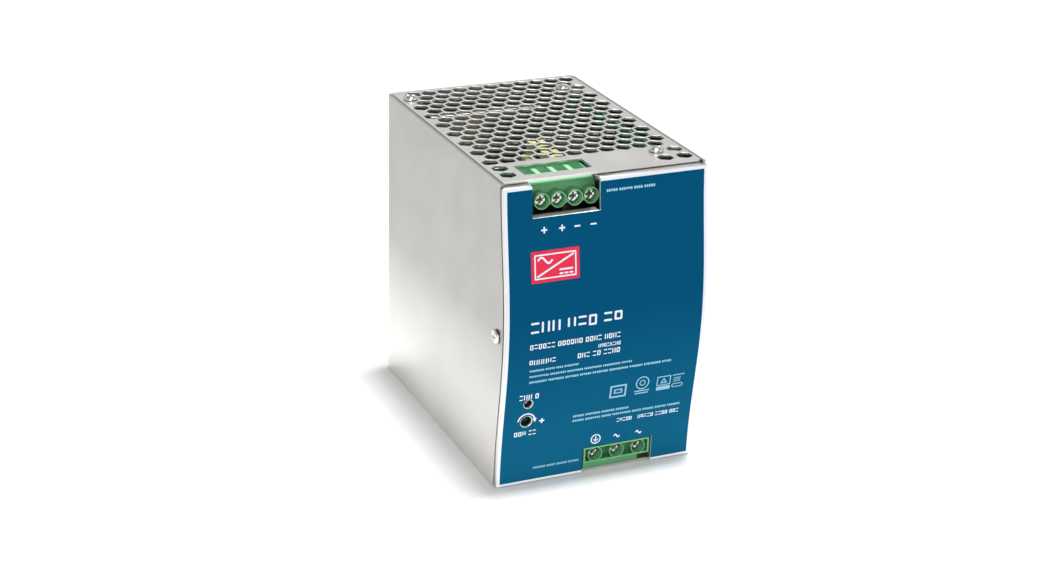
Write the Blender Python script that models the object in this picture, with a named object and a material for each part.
"""A DIN rail power supply: a perforated sheet-metal case with its terminals, rail clip and electronics.

Frame: the origin is the centre of the face that the rail lies on. +Y points at the rail, -Y at whoever
faces the unit, +Z up. The helpers below take millimetres and make meshes in metres.
"""

import math

import bmesh
import bpy
from mathutils import Matrix, Vector

MM = 0.001
GAP = 0.3

# Case
CASE_WIDTH = 85.5
BOTTOM = -65.5
TOP = 59.7
REAR = -2.0
SHEET = 1.2
COVER_SHEET = 1.0
BEND_RADIUS = 2.2
INNER_X = CASE_WIDTH / 2 - SHEET
COVER_X = INNER_X - GAP

# Front panel: a lid across the whole width, flat at both ends, whose face bulges between them
FACE_END = -124.5
BULGE = 5.73
BULGE_HALF = 65.6
BULGE_MID = 0.9
FACE_STEPS = 28
PANEL_TOP = TOP - COVER_SHEET - GAP
PANEL_BOTTOM = BOTTOM + 0.3
SIDE_SETBACK = 2.1
SIDE_FLANGE = 11.0
LABEL_INSET = 0.35
LABEL_GAP = 0.1
LABEL_THICK = 0.2

# Front edges of the covers: the top one stops further back than the bottom one
TOP_COVER_FRONT = FACE_END + 3.1
BOTTOM_COVER_FRONT = FACE_END + SHEET + GAP

# Openings for the two terminal blocks, in the front panel and in the covers
OUTPUT_X = (-30.95, -2.95)
OUTPUT_SILL = 45.8
SILL_DEPTH = 2.7
INPUT_X = (-5.8, 24.75)
INPUT_HEAD = -53.95
TOP_SLOT = ((-30.1, -2.05), (-116.0, -105.0))
BOTTOM_SLOT = (INPUT_X, (-114.0, -103.0))

# Perforation: hexagons with points towards the front and the rear
HEX_PITCH = 7.0
HEX_FLATS = 5.9
HEX_COLUMNS = 11
HEX_ROWS = 16
HEX_FIRST = (-33.25, -7.7)
SIDE_HOLES = ((-36.0, -106.2), (-36.0, -113.8), (37.4, -106.9), (37.4, -115.2), (29.3, -115.2))

# Cover screws stand where the perforation leaves a hole out
COVER_SCREWS = ((-36.75, -13.8), (29.75, -19.8), (29.3, -107.1))
SIDE_SCREW = (-122.4, -1.5)

# Status lamp and adjuster, behind holes in the front panel
LAMP = (-31.2, -29.4)
LAMP_HOLE = 1.7
ADJUSTER = (-31.4, -37.3)
ADJUSTER_HOLE = 2.25

# Terminals. Every pole has a captive screw that draws a cage forwards against a fixed contact bar.
OUTPUT_POLES = [-25.4 + 6.8 * i for i in range(4)]
OUTPUT_AXIS_Z = 50.6
INPUT_POLES = [0.4 + 9.5 * i for i in range(3)]
INPUT_AXIS_Z = -58.4
CAGE_WALL = 1.0
CAGE_ROOM = 4.3
CONTACT_THICK = 0.8

# Output block: its rounded top, and the undercut that leaves the space below the barrels open
OUTPUT_NOSE = -122.1
OUTPUT_REAR = -100.9
BLOCK_TOP = 57.6
BLOCK_FOOT = 46.9
BLOCK_ROUND = 5.5
UNDERCUT = (-113.2, 49.3)
FUNNEL_DEPTH = 3.0

# Input block
INPUT_NOSE = -123.7
INPUT_REAR = -101.7
INPUT_TOP = -49.0

# Rail clip, for a 35 mm rail. The latch's window holds the spring, which the bracket's stop pushes up.
RAIL_HALF = 17.5
PAD_HALF = 15.5
HOOK_THICK = 1.2
HOOK_Y = (1.5, 1.5 + HOOK_THICK)
PLATE_FACE = -0.5
LATCH_HALF = 9.5
LATCH_Z = (-57.0, -18.0)
WINDOW_Z = (-42.6, -30.0)
SPRING_STOP_Z = (-41.9, -40.9)
GUIDE_Z = (-44.0, -30.0)
BRACKET_Z = (-46.0, 29.0)
BRACKET_SCREWS = ((-19.0, 24.5), (19.0, 24.5), (-19.0, -25.0), (19.0, -25.0))

# Boards and what stands on them
BOARD_X = (36.2, 37.8)
BOARD_THICK = 1.6

# Beyond every outer face, so that a cutter passes right through
CLEAR = 5.0
ROUND = 16


def clear_scene():
    for obj in list(bpy.data.objects):
        bpy.data.objects.remove(obj, do_unlink=True)


def material(name, color, roughness, metallic=0.0):
    found = bpy.data.materials.get(name)
    if found:
        return found
    made = bpy.data.materials.new(name)
    made.use_nodes = True
    shader = made.node_tree.nodes["Principled BSDF"]
    shader.inputs["Base Color"].default_value = (*color, 1.0)
    shader.inputs["Roughness"].default_value = roughness
    shader.inputs["Metallic"].default_value = metallic
    return made


def steel():
    return material("nickel_steel", (0.62, 0.61, 0.59), 0.38, 1.0)


def plated():
    return material("zinc_plate", (0.70, 0.70, 0.68), 0.30, 1.0)


def green_plastic():
    return material("green_plastic", (0.10, 0.42, 0.14), 0.45)


def board_green():
    return material("board_green", (0.01, 0.14, 0.05), 0.5)


def label_blue():
    return material("label_blue", (0.008, 0.08, 0.17), 0.4)


def aluminium():
    return material("aluminium", (0.75, 0.76, 0.77), 0.35, 1.0)


def ferrite():
    return material("ferrite", (0.03, 0.03, 0.035), 0.6)


def black_sleeve():
    return material("black_sleeve", (0.015, 0.015, 0.02), 0.35)


def yellow_tape():
    return material("yellow_tape", (0.62, 0.58, 0.16), 0.4)


def copper():
    return material("copper_wire", (0.65, 0.28, 0.10), 0.35, 1.0)


def white_plastic():
    return material("white_plastic", (0.75, 0.74, 0.70), 0.5)


def add_object(name, bm, finish=None):
    """The bmesh, scaled from millimetres, as a new object with its normals outwards."""
    bmesh.ops.recalc_face_normals(bm, faces=bm.faces)
    bm.transform(Matrix.Scale(MM, 4))
    mesh = bpy.data.meshes.new(name)
    bm.to_mesh(mesh)
    bm.free()
    obj = bpy.data.objects.new(name, mesh)
    bpy.context.scene.collection.objects.link(obj)
    if finish:
        mesh.materials.append(finish)
    return obj


def place(axis, a, b, along):
    """A point from two coordinates in the plane across axis and one along it."""
    if axis == "X":
        return (along, a, b)
    if axis == "Y":
        return (a, along, b)
    return (a, b, along)


def prism(name, outline, axis, low, high, finish=None):
    """An outline across axis, extruded from low to high along it."""
    bm = bmesh.new()
    verts = [bm.verts.new(place(axis, a, b, low)) for a, b in outline]
    face = bm.faces.new(verts)
    moved = bmesh.ops.extrude_face_region(bm, geom=[face])["geom"]
    shift = Vector(place(axis, 0, 0, high - low))
    bmesh.ops.translate(bm, vec=shift, verts=[v for v in moved if isinstance(v, bmesh.types.BMVert)])
    return add_object(name, bm, finish)


def box(name, x, y, z, finish=None):
    return prism(name, [(x[0], y[0]), (x[1], y[0]), (x[1], y[1]), (x[0], y[1])], "Z", z[0], z[1], finish)


def circle(centre, radius, count=ROUND, turn=0.0):
    steps = [turn + 2 * math.pi * i / count for i in range(count)]
    return [(centre[0] + radius * math.cos(a), centre[1] + radius * math.sin(a)) for a in steps]


def rod(name, axis, centre, radius, low, high, finish=None, count=ROUND):
    return prism(name, circle(centre, radius, count), axis, low, high, finish)


def turned(name, axis, centre, profile, finish=None, count=ROUND):
    """A solid of revolution from (radius, along) points, ordered along axis, with both ends closed."""
    bm = bmesh.new()
    rings = []
    for radius, along in profile:
        if radius == 0:
            rings.append([bm.verts.new(place(axis, *centre, along))])
        else:
            rings.append([bm.verts.new(place(axis, a, b, along)) for a, b in circle(centre, radius, count)])
    for lower, upper in zip(rings, rings[1:]):
        for i in range(count):
            j = (i + 1) % count
            below = [lower[i % len(lower)], lower[j % len(lower)]]
            above = [upper[j % len(upper)], upper[i % len(upper)]]
            bm.faces.new(list(dict.fromkeys(below + above)))
    for ring in (rings[0], rings[-1]):
        if len(ring) > 1:
            bm.faces.new(ring)
    return add_object(name, bm, finish)


def combine(base, operation, others):
    """Adds one Boolean per helper object, which then no longer renders."""
    for other in others:
        modifier = base.modifiers.new(f"{operation.lower()}_{other.name}", "BOOLEAN")
        modifier.operation = operation
        modifier.object = other
        modifier.solver = "EXACT"
        other.hide_render = True
        other.display_type = "WIRE"
        other.parent = base
    return base


def fuse(base, *others):
    return combine(base, "UNION", others)


def cut(base, *others):
    return combine(base, "DIFFERENCE", others)


def face_y(z, offset=0.0):
    """Where the front panel's outer face lies at height z, moved back by offset."""
    away = min(abs(z - BULGE_MID), BULGE_HALF)
    return FACE_END + offset - BULGE * 0.5 * (1 + math.cos(math.pi * away / BULGE_HALF))


def face_line(low, high, offset):
    """Points (y, z) up the front panel's face."""
    heights = [low + (high - low) * i / FACE_STEPS for i in range(FACE_STEPS + 1)]
    return [(face_y(z, offset), z) for z in heights]


def curved_sheet(name, x, z, offset, thick, finish=None):
    outline = face_line(*z, offset) + face_line(*z, offset + thick)[::-1]
    return prism(name, outline, "X", x[0], x[1], finish)


# ---------------------------------------------------------------- case


def case_outline():
    """The chassis from above: two side panels and the rear wall, with rounded bends between them."""
    half = CASE_WIDTH / 2
    front = FACE_END - BULGE - CLEAR
    outer = [(-half, front)]
    inner = [(-INNER_X, front)]
    for side in (-1, 1):
        for i in range(5):
            angle = math.pi / 2 * (i / 4 if side < 0 else 1 - i / 4)
            x = side * (half - BEND_RADIUS + BEND_RADIUS * math.cos(angle))
            outer.append((x, REAR - BEND_RADIUS + BEND_RADIUS * math.sin(angle)))
            x = side * (half - BEND_RADIUS + (BEND_RADIUS - SHEET) * math.cos(angle))
            inner.append((x, REAR - BEND_RADIUS + (BEND_RADIUS - SHEET) * math.sin(angle)))
    outer.append((half, front))
    inner.append((INNER_X, front))
    return outer + inner[::-1]


def cover_tab(name, screw, low, high):
    """A bent ear on the nearer side panel that a cover screw goes into."""
    x, y = screw
    side = 1 if x > 0 else -1
    reach = sorted((x - side * 4.2, side * (INNER_X + 0.4)))
    return box(name, reach, (y - 4, y + 4), (low, high))


def chassis():
    base = prism("chassis", case_outline(), "Z", BOTTOM + 0.2, TOP - 0.2, steel())
    front = FACE_END - BULGE - 2 * CLEAR
    beyond = [(front, TOP + CLEAR), (front, BOTTOM - CLEAR)]
    beyond += face_line(BOTTOM - CLEAR, TOP + CLEAR, SIDE_SETBACK)
    cut(base, prism("chassis_front_trim", beyond, "X", -CASE_WIDTH, CASE_WIDTH))
    across = (-INNER_X, INNER_X)
    under = TOP - COVER_SHEET - GAP
    above = BOTTOM + COVER_SHEET + GAP
    rear = (REAR - 8, REAR + 1)
    cut(base, box("chassis_top_recess", across, rear, (under, TOP + 1)))
    cut(base, box("chassis_bottom_recess", across, rear, (BOTTOM - 1, above)))
    for i, screw in enumerate(COVER_SCREWS):
        fuse(base, cover_tab(f"top_tab_{i}", screw, under - SHEET, under))
        fuse(base, cover_tab(f"bottom_tab_{i}", screw, above, above + SHEET))
    for i, screw in enumerate(COVER_SCREWS):
        cut(base, rod(f"top_tab_hole_{i}", "Z", screw, 1.8, under - 3, under + 1, count=10))
        cut(base, rod(f"bottom_tab_hole_{i}", "Z", screw, 1.8, above - 1, above + 3, count=10))
    cut(base, rod("side_holes", "X", SIDE_SCREW, 1.8, -CASE_WIDTH, CASE_WIDTH, count=10))
    for i, (x, z) in enumerate(BRACKET_SCREWS):
        cut(base, rod(f"rear_hole_{i}", "Y", (x, z), 1.8, REAR - 3, REAR + 2, count=10))
    return base


def windows(prefix):
    """Cutters for the openings of both blocks, which run out over the panel's ends."""
    through = (FACE_END - BULGE - CLEAR, FACE_END + CLEAR + 1)
    output = box(f"{prefix}_output_window", OUTPUT_X, through, (OUTPUT_SILL, TOP + CLEAR))
    return output, box(f"{prefix}_input_window", INPUT_X, through, (BOTTOM - CLEAR, INPUT_HEAD))


def face_holes(prefix, extra):
    through = (FACE_END - BULGE - CLEAR, FACE_END + 2 * CLEAR)
    lamp = rod(f"{prefix}_lamp_hole", "Y", LAMP, LAMP_HOLE + extra, *through, count=12)
    adjuster = rod(f"{prefix}_adjuster_hole", "Y", ADJUSTER, ADJUSTER_HOLE + extra, *through, count=12)
    return lamp, adjuster


def front_panel():
    """The lid: its face covers the side panels' edges, and its bent edges go inside them."""
    half = CASE_WIDTH / 2
    base = curved_sheet("front_panel", (-half, half), (PANEL_BOTTOM, PANEL_TOP), 0, SHEET, steel())
    inside = FACE_END + 0.5
    top = (PANEL_TOP - SHEET, PANEL_TOP)
    fuse(base, box("panel_top_flange", (-COVER_X, COVER_X), (inside, FACE_END + CLEAR), top))
    cut(base, *windows("panel"))
    sill_x = (OUTPUT_X[0] + 0.4, OUTPUT_X[1] - 0.4)
    sill_y = (face_y(OUTPUT_SILL) + 0.4, FACE_END + SILL_DEPTH)
    fuse(base, box("panel_output_sill", sill_x, sill_y, (OUTPUT_SILL - SHEET, OUTPUT_SILL)))
    cheek_x = (INPUT_X[1], INPUT_X[1] + SHEET)
    cheek_z = (PANEL_BOTTOM + 1.5, INPUT_HEAD - 1)
    fuse(base, box("panel_input_cheek", cheek_x, (inside, FACE_END + 2.5), cheek_z))
    for side, name in ((-1, "left"), (1, "right")):
        across = sorted((side * COVER_X, side * (COVER_X - SHEET)))
        height = (PANEL_BOTTOM + 1.5, PANEL_TOP - 0.6)
        fuse(base, curved_sheet(f"panel_{name}_flange", across, height, 0.6, SIDE_FLANGE))
    cut(base, rod("panel_flange_holes", "X", SIDE_SCREW, 1.8, -CASE_WIDTH, CASE_WIDTH, count=10))
    cut(base, *face_holes("panel", 0))
    return base


def front_label():
    across = CASE_WIDTH / 2 - LABEL_INSET
    reach = (PANEL_BOTTOM + 0.2, PANEL_TOP - 0.2)
    front = -LABEL_GAP - LABEL_THICK
    base = curved_sheet("front_label", (-across, across), reach, front, LABEL_THICK, label_blue())
    cut(base, *windows("label"))
    cut(base, *face_holes("label", 0.2))
    return base


def hexagon(centre):
    return circle(centre, HEX_FLATS / math.sqrt(3), 6, math.pi / 2)


def hole_centres():
    """The perforation's centres, less those where a cover screw stands, with the few by the terminals."""
    centres = []
    for row in range(HEX_ROWS):
        shift = -HEX_PITCH / 2 if row % 2 else 0
        y = HEX_FIRST[1] - row * HEX_PITCH * math.sqrt(3) / 2
        centres += [(HEX_FIRST[0] + shift + i * HEX_PITCH, y) for i in range(HEX_COLUMNS)]
    kept = [c for c in centres if all(math.dist(c, s) > 4 for s in COVER_SCREWS)]
    return kept + list(SIDE_HOLES)


def perforated_plate(name, z, front, slot, finish):
    """A flat cover with its perforation, wire slot and screw holes, made as one filled outline."""
    corner = 2.5
    rear = REAR - 0.2
    edge = [(-COVER_X, front), (COVER_X, front)]
    for side, start in ((1, 0), (-1, 90)):
        for i in range(4):
            angle = math.radians(start + 30 * i)
            x = side * (COVER_X - corner) + corner * math.cos(angle)
            edge.append((x, rear - corner + corner * math.sin(angle)))
    x, y = slot
    loops = [edge, [(x[0], y[0]), (x[1], y[0]), (x[1], y[1]), (x[0], y[1])]]
    loops += [hexagon(c) for c in hole_centres()]
    loops += [circle(s, 1.7, 10) for s in COVER_SCREWS]
    bm = bmesh.new()
    for loop in loops:
        verts = [bm.verts.new((a, b, z[0])) for a, b in loop]
        for a, b in zip(verts, verts[1:] + verts[:1]):
            bm.edges.new((a, b))
    bmesh.ops.triangle_fill(bm, use_beauty=True, edges=bm.edges)
    made = bmesh.ops.extrude_face_region(bm, geom=bm.faces[:])["geom"]
    raised = [v for v in made if isinstance(v, bmesh.types.BMVert)]
    bmesh.ops.translate(bm, vec=(0, 0, z[1] - z[0]), verts=raised)
    return add_object(name, bm, finish)


def covers():
    upper = (TOP - COVER_SHEET, TOP)
    lower = (BOTTOM, BOTTOM + COVER_SHEET)
    perforated_plate("top_cover", upper, TOP_COVER_FRONT, TOP_SLOT, steel())
    perforated_plate("bottom_cover", lower, BOTTOM_COVER_FRONT, BOTTOM_SLOT, steel())


def pan_screw(name, axis, centre, seat, out, length, head=3.0, height=1.9, finish=None):
    """A pan-head screw whose head sits on seat and stands out in the direction out (+1 or -1)."""
    profile = [
        (1.35, seat - out * length),
        (1.35, seat + out * 0.1),
        (head, seat + out * 0.1),
        (head, seat + out * height * 0.55),
        (head * 0.62, seat + out * height),
    ]
    base = turned(name, axis, centre, profile if out > 0 else profile[::-1], finish or plated(), 12)
    low, high = sorted((seat + out * (height - 1.1), seat + out * (height + 1)))
    arms = []
    for label, wide, tall in (("a", 1.5, 0.4), ("b", 0.4, 1.5)):
        left, right, foot, top = centre[0] - wide, centre[0] + wide, centre[1] - tall, centre[1] + tall
        outline = [(left, foot), (right, foot), (right, top), (left, top)]
        arms.append(prism(f"{name}_recess_{label}", outline, axis, low, high))
    return cut(base, fuse(*arms))


def case_screws():
    for i, screw in enumerate(COVER_SCREWS, 1):
        pan_screw(f"top_cover_screw_{i}", "Z", screw, TOP, 1, 5)
    for i, (x, y) in enumerate(COVER_SCREWS, 1):
        profile = [(1.5, BOTTOM + 0.25), (1.5, BOTTOM + 5)]
        turned(f"bottom_cover_screw_{i}", "Z", (x, y), profile, plated(), 12)
    for side, name in ((-1, "left"), (1, "right")):
        pan_screw(f"{name}_side_screw", "X", SIDE_SCREW, side * CASE_WIDTH / 2, side, 5, height=1.5)


# ---------------------------------------------------------------- terminals


class Terminal:
    """The places along Y, front to rear, of one terminal block's working parts."""

    def __init__(self, nose, head_depth, rear, poles, axis_z, half, wire_side):
        self.nose = nose
        self.head_front = nose + head_depth
        self.head_rear = self.head_front + 2.0
        self.seat = self.head_rear + GAP
        self.room_front = self.seat + 0.8
        self.cage_front = self.room_front + GAP + 4.1
        self.contact_front = self.cage_front + CAGE_WALL + 0.5
        self.contact_rear = self.contact_front + CONTACT_THICK
        self.cage_rear = self.contact_rear + CAGE_ROOM
        self.room_rear = self.cage_rear + 0.8 + 0.4
        self.rear = rear
        self.poles = poles
        self.axis_z = axis_z
        self.half = half
        self.wire_side = wire_side


def output_terminal():
    return Terminal(OUTPUT_NOSE, 1.9, OUTPUT_REAR, OUTPUT_POLES, OUTPUT_AXIS_Z, 2.65, 1)


def input_terminal():
    return Terminal(INPUT_NOSE, 2.8, INPUT_REAR, INPUT_POLES, INPUT_AXIS_Z, 3.3, -1)


def cage_height(t):
    return t.axis_z - 3.1, t.axis_z + 3.1


def screw(name, t, x):
    """A captive screw: its head turns behind the barrel and its shank reaches the contact bar."""
    head, shank, bevel = 2.3, 1.45, 0.3
    profile = [
        (head * 0.9, t.head_front),
        (head, t.head_front + bevel),
        (head, t.head_rear),
        (shank, t.head_rear),
        (shank, t.contact_front - GAP),
    ]
    base = turned(name, "Y", (x, t.axis_z), profile, plated(), 14)
    deep = (t.head_front - 1, t.head_front + 1.2)
    cross = []
    for label, wide, tall in (("a", 1.6, 0.35), ("b", 0.35, 1.6)):
        across, height = (x - wide, x + wide), (t.axis_z - tall, t.axis_z + tall)
        cross.append(box(f"{name}_recess_{label}", across, deep, height))
    return cut(base, fuse(*cross))


def cage(name, t, x):
    """A square loop, open along Z, whose front wall rides on the screw."""
    low, high = cage_height(t)
    wall = 0.55 if t.half < 3 else 0.7
    rear = t.cage_rear + 0.8
    base = box(name, (x - t.half, x + t.half), (t.cage_front, rear), (low, high), plated())
    inside = (x - t.half + wall, x + t.half - wall)
    cut(base, box(f"{name}_space", inside, (t.cage_front + CAGE_WALL, t.cage_rear), (low - 1, high + 1)))
    cut(base, rod(f"{name}_thread", "Y", (x, t.axis_z), 1.7, t.cage_front - 1, t.cage_front + 1.5, count=12))
    return base


def contact_board(name, t, x, z):
    """The board behind a block, with the contact bars that are soldered to it."""
    face = t.rear + GAP
    base = box(name, x, (face, face + BOARD_THICK), z, board_green())
    low, high = cage_height(t)
    foot = low - 1.3 if t.wire_side > 0 else high + 0.5
    tip = high if t.wire_side > 0 else low
    for i, pole in enumerate(t.poles):
        across = (pole - 1.8, pole + 1.8)
        strut = box(f"{name}_strut_{i}", across, (t.contact_front, face + 0.8), (foot, foot + 0.8))
        upright = sorted((foot + 0.4, tip))
        fuse(base, fuse(strut, box(f"{name}_bar_{i}", across, (t.contact_front, t.contact_rear), upright)))
    return base


def pole_room(name, t, x):
    """The space inside the housing for one cage, its contact bar and the wire."""
    low, high = cage_height(t)
    side = t.half + 0.2
    neck = t.half - 0.2
    if t.wire_side > 0:
        room_z, strut_z, mouth_z = (low - 1.6, high + 0.4), (low - 1.6, low - 0.2), (high, high + 12)
        mouth_rear = t.cage_rear
    else:
        room_z, strut_z, mouth_z = (low - 0.4, high + 1.6), (high + 0.2, high + 1.6), (low - 12, low)
        mouth_rear = t.rear - 0.8
    room = box(f"{name}_room", (x - side, x + side), (t.room_front, t.room_rear), room_z)
    pin = box(f"{name}_pin_slot", (x - 2.1, x + 2.1), (t.contact_front - GAP, t.rear + 1), strut_z)
    mouth = box(f"{name}_wire_mouth", (x - neck, x + neck), (t.contact_rear - 0.2, mouth_rear), mouth_z)
    shank = rod(f"{name}_shank_hole", "Y", (x, t.axis_z), 1.8, t.seat - 1, t.room_front + 1, count=12)
    return room, pin, mouth, shank


def wire_funnel(name, t, x):
    """Widens a wire mouth towards the rear of the block's top."""
    neck = t.half - 0.2
    front, deep = t.contact_rear - 0.2, BLOCK_TOP - FUNNEL_DEPTH
    rear = t.rear - 0.8
    outline = [(front, deep), (t.cage_rear, deep), (rear, BLOCK_TOP)]
    outline += [(rear, BLOCK_TOP + 1), (front, BLOCK_TOP + 1)]
    return prism(name, outline, "X", x - neck, x + neck)


def output_block():
    t = output_terminal()
    left, right = OUTPUT_POLES[0] - 3.4, OUTPUT_POLES[-1] + 3.2
    front = t.room_front - 0.8
    outline = [(t.rear, BLOCK_FOOT), (t.rear, BLOCK_TOP)]
    for i in range(7):
        angle = math.pi / 2 * (1 - i / 6)
        y = front + BLOCK_ROUND * (1 - math.cos(angle))
        outline.append((y, BLOCK_TOP - BLOCK_ROUND * (1 - math.sin(angle))))
    outline += [(front, UNDERCUT[1]), (UNDERCUT[0], BLOCK_FOOT)]
    base = prism("output_terminal_block", outline, "X", left, right, green_plastic())
    for i, x in enumerate(t.poles):
        fuse(base, rod(f"output_barrel_{i}", "Y", (x, t.axis_z), 3.15, t.nose, front + 0.5))
    web = (t.axis_z - 1.6, t.axis_z - 0.4)
    fuse(base, box("output_barrel_web", (t.poles[0], t.poles[-1]), (t.nose + 0.4, front + 0.5), web))
    for i, x in enumerate(t.poles):
        cut(base, rod(f"output_driver_hole_{i}", "Y", (x, t.axis_z), 2.6, t.nose - 1, t.seat))
        cut(base, *pole_room(f"output_pole_{i}", t, x))
        cut(base, wire_funnel(f"output_funnel_{i}", t, x))
    return base


def input_block():
    t = input_terminal()
    left, right = INPUT_POLES[0] - 5.0, INPUT_POLES[-1] + 5.0
    foot = BOTTOM + COVER_SHEET + GAP
    front = t.room_front - 0.8
    base = box("input_terminal_block", (left, right), (front, t.rear), (foot, INPUT_TOP), green_plastic())
    rim = (t.axis_z - 3.4, t.axis_z + 3.25)
    snout = box("input_snout", (left, right), (t.nose, front + 0.5), rim)
    inside, wall = (left + 0.8, right - 0.8), 0.7
    cut(snout, box("input_snout_hollow", inside, (t.nose - 1, front - 1.2), (rim[0] + wall, rim[1] - wall)))
    fuse(base, snout)
    fuse(base, box("input_lip", (left, right - 5), (t.nose + 0.4, front + 0.5), (foot, rim[0] + 0.3)))
    for i, x in enumerate(t.poles):
        fuse(base, rod(f"input_barrel_{i}", "Y", (x, t.axis_z), 3.15, t.nose, front + 0.5))
    for i, x in enumerate(t.poles):
        cut(base, rod(f"input_driver_hole_{i}", "Y", (x, t.axis_z), 2.6, t.nose - 1, t.seat))
        cut(base, *pole_room(f"input_pole_{i}", t, x))
    return base


def terminals():
    output_block()
    input_block()
    for label, t in (("output", output_terminal()), ("input", input_terminal())):
        for i, x in enumerate(t.poles, 1):
            screw(f"{label}_screw_{i}", t, x)
            cage(f"{label}_cage_{i}", t, x)
    contact_board("output_board", output_terminal(), (-30.5, 2.0), (40.0, 57.0))
    contact_board("input_board", input_terminal(), (-6.0, 27.0), (-63.0, -47.0))


# ---------------------------------------------------------------- rail clip


def rail_bracket():
    rear = REAR + GAP
    base = box("rail_bracket", (-24, 24), (rear, PLATE_FACE), BRACKET_Z, plated())
    fuse(base, box("rail_pad", (-22, 22), (rear + 0.3, 0), (-PAD_HALF, PAD_HALF)))
    root = RAIL_HALF + 0.5
    for side, name in ((-1, "left"), (1, "right")):
        across = sorted((side * 8, side * 20))
        hook = box(f"{name}_hook_root", across, (rear + 0.3, HOOK_Y[1]), (root, root + HOOK_THICK))
        fuse(base, fuse(hook, box(f"{name}_hook_lip", across, HOOK_Y, (PAD_HALF + 0.4, root + 0.6))))
        across = sorted((side * (LATCH_HALF + GAP), side * (LATCH_HALF + 1.5)))
        guide = box(f"{name}_guide_root", across, (rear + 0.3, 2.3), GUIDE_Z)
        across = sorted((side * (LATCH_HALF - 1.6), side * (LATCH_HALF + 1.5)))
        fuse(base, fuse(guide, box(f"{name}_guide_lip", across, (1.3, 2.3), GUIDE_Z)))
    fuse(base, box("spring_stop", (-1.9, 1.9), (rear + 0.3, 2.6), SPRING_STOP_Z))
    for i, (x, z) in enumerate(BRACKET_SCREWS):
        cut(base, rod(f"bracket_hole_{i}", "Y", (x, z), 1.7, rear - 1, 1, count=10))
    return base


def rail_latch():
    face = PLATE_FACE + GAP
    base = box("rail_latch", (-LATCH_HALF, LATCH_HALF), (face, face + 1.2), LATCH_Z, plated())
    top = LATCH_Z[1]
    across = (-LATCH_HALF, LATCH_HALF)
    hook = box("latch_hook_root", across, (face, HOOK_Y[1]), (top - HOOK_THICK, top))
    fuse(base, fuse(hook, box("latch_hook_lip", across, HOOK_Y, (top - HOOK_THICK + 0.2, -PAD_HALF - 0.4))))
    fuse(base, box("latch_pull_tab", (-6, 6), (face + 0.4, 3.0), (LATCH_Z[0], LATCH_Z[0] + 1.2)))
    cut(base, box("latch_window", (-2.4, 2.4), (face - 1, face + 3), WINDOW_Z))
    cut(base, box("latch_driver_slot", (-3.5, 3.5), (face - 1, face + 2), (LATCH_Z[0] + 3, LATCH_Z[0] + 5.5)))
    return base


def latch_spring():
    """A compression spring between the bracket's stop and the top of the latch's window."""
    wire, radius, turns, steps = 0.28, 1.2, 6, 10
    low, high = SPRING_STOP_Z[1] + GAP + wire, WINDOW_Z[1] - GAP - wire
    centre_y = PLATE_FACE + 0.2 + radius + wire
    curve = bpy.data.curves.new("latch_spring", "CURVE")
    curve.dimensions = "3D"
    curve.bevel_depth = wire * MM
    curve.bevel_resolution = 0
    curve.use_fill_caps = True
    line = curve.splines.new("POLY")
    count = turns * steps
    line.points.add(count)
    for i, point in enumerate(line.points):
        angle = 2 * math.pi * i / steps
        z = low + (high - low) * i / count
        spot = Vector((radius * math.cos(angle), centre_y + radius * math.sin(angle), z)) * MM
        point.co = (*spot, 1)
    curve.materials.append(plated())
    obj = bpy.data.objects.new("latch_spring", curve)
    bpy.context.scene.collection.objects.link(obj)
    return obj


def rail_clip():
    rail_bracket()
    rail_latch()
    latch_spring()
    for i, spot in enumerate(BRACKET_SCREWS, 1):
        pan_screw(f"bracket_screw_{i}", "Y", spot, PLATE_FACE, 1, 5, head=2.7, height=1.7)


# ---------------------------------------------------------------- electronics


def boards():
    box("main_board", BOARD_X, (-96, -8), (-60, 55.7), board_green())
    box("board_insulator", (40.6, 41.0), (-97, -7), (-61, 56), white_plastic())
    for i, (y, z) in enumerate(((-14, 50), (-90, 50), (-14, -54), (-90, -54)), 1):
        rod(f"board_standoff_{i}", "X", (y, z), 2.5, BOARD_X[1] + GAP, 40.3, plated(), 6)
    box("control_board", (-39, -15), (-115.6, -114.0), (-52, -22), board_green())


def on_board(depth):
    """The X range of a part that stands on the main board and reaches depth towards the left panel."""
    return BOARD_X[0] - GAP - depth, BOARD_X[0] - GAP


def can(name, spot, radius, depth, finish):
    low, high = on_board(depth)
    profile = [(radius - 0.8, low), (radius, low + 0.8), (radius, high)]
    return turned(name, "X", spot, profile, finish)


def ring_core(name, spot, outer, inner, depth, finish):
    low, high = on_board(depth)
    base = rod(name, "X", spot, outer, low, high, finish)
    return cut(base, rod(f"{name}_eye", "X", spot, inner, low - 1, high + 1))


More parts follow.
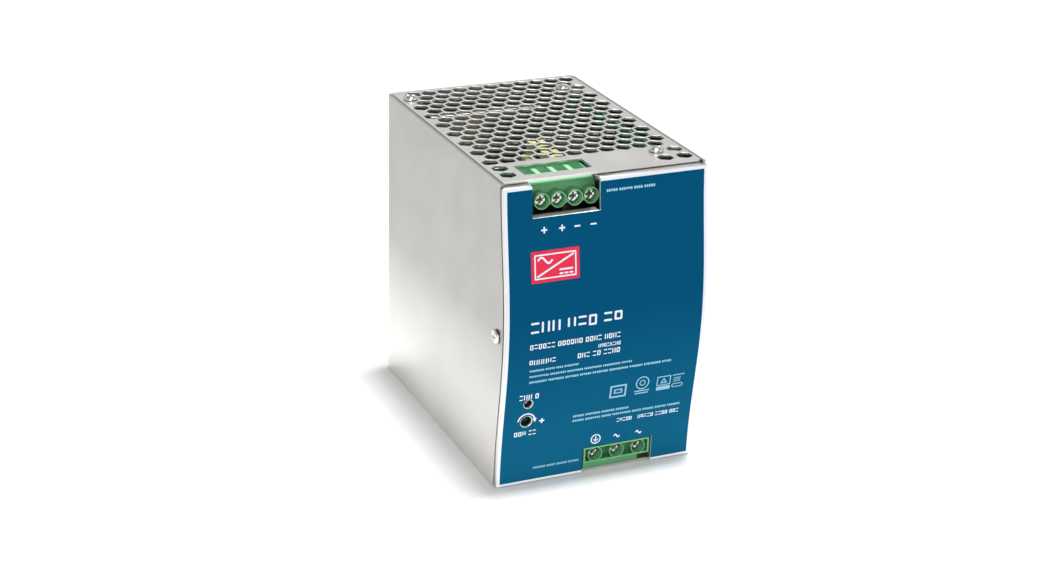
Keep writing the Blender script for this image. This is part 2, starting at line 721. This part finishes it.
def electronics():
    boards()
    heatsink = box("primary_heatsink", (-30, 20), (-17.5, -15), (-48, 53), aluminium())
    fuse(heatsink, box("primary_heatsink_flange", (-30, 20), (-20, -15.5), (50.5, 53)))
    heatsink = box("secondary_heatsink", (-32, 30), (-80, -77.5), (14, 50), aluminium())
    fuse(heatsink, box("secondary_heatsink_flange", (-32, 30), (-80, -75), (47.5, 50)))
    can("bulk_capacitor_1", (-37, -42), 15, 50, black_sleeve())
    can("bulk_capacitor_2", (-69, -42), 15, 50, black_sleeve())
    for i, (y, z) in enumerate(((-88, 24), (-88, 40)), 1):
        can(f"output_capacitor_{i}", (y, z), 6.25, 25, black_sleeve())
    core = box("transformer_core", on_board(32), (-73, -35), (12, 46), ferrite())
    cut(core, box("transformer_core_space", (-2, 31), (-69, -39), (17.5, 40.5)))
    low, high = on_board(26)
    box("transformer_winding", (low - 8, high - 5.4), (-68.4, -39.6), (17.9, 40.1), yellow_tape())
    ring_core("boost_choke", (-38, -6), 16.5, 7, 18, copper())
    ring_core("output_choke", (-88, 2), 10.5, 4.5, 12, copper())
    box("line_choke", on_board(22), (-95, -86), (-57, -30), black_sleeve())
    box("line_capacitor", on_board(14), (-84, -58), (-22, -9), yellow_tape())
    lamp_and_adjuster()


def lamp_and_adjuster():
    lens = [(1.0, -125.6), (1.5, -124.8), (1.5, -115.9)]
    turned("status_lamp", "Y", LAMP, lens, material("lamp_lens", (0.25, 0.55, 0.25), 0.2))
    x, z = ADJUSTER
    side = 3.2
    across, height = (x - side, x + side), (z - side, z + side)
    box("adjuster_body", across, (-120.6, -115.9), height, material("adjuster_blue", (0.05, 0.15, 0.5), 0.4))
    rotor = rod("adjuster_rotor", "Y", ADJUSTER, 1.75, -123.6, -120.9, white_plastic())
    cut(rotor, box("adjuster_slot", (x - 1.3, x + 1.3), (-124.2, -122.8), (z - 0.3, z + 0.3)))


def main():
    clear_scene()
    chassis()
    front_panel()
    front_label()
    covers()
    case_screws()
    terminals()
    rail_clip()
    electronics()


main()
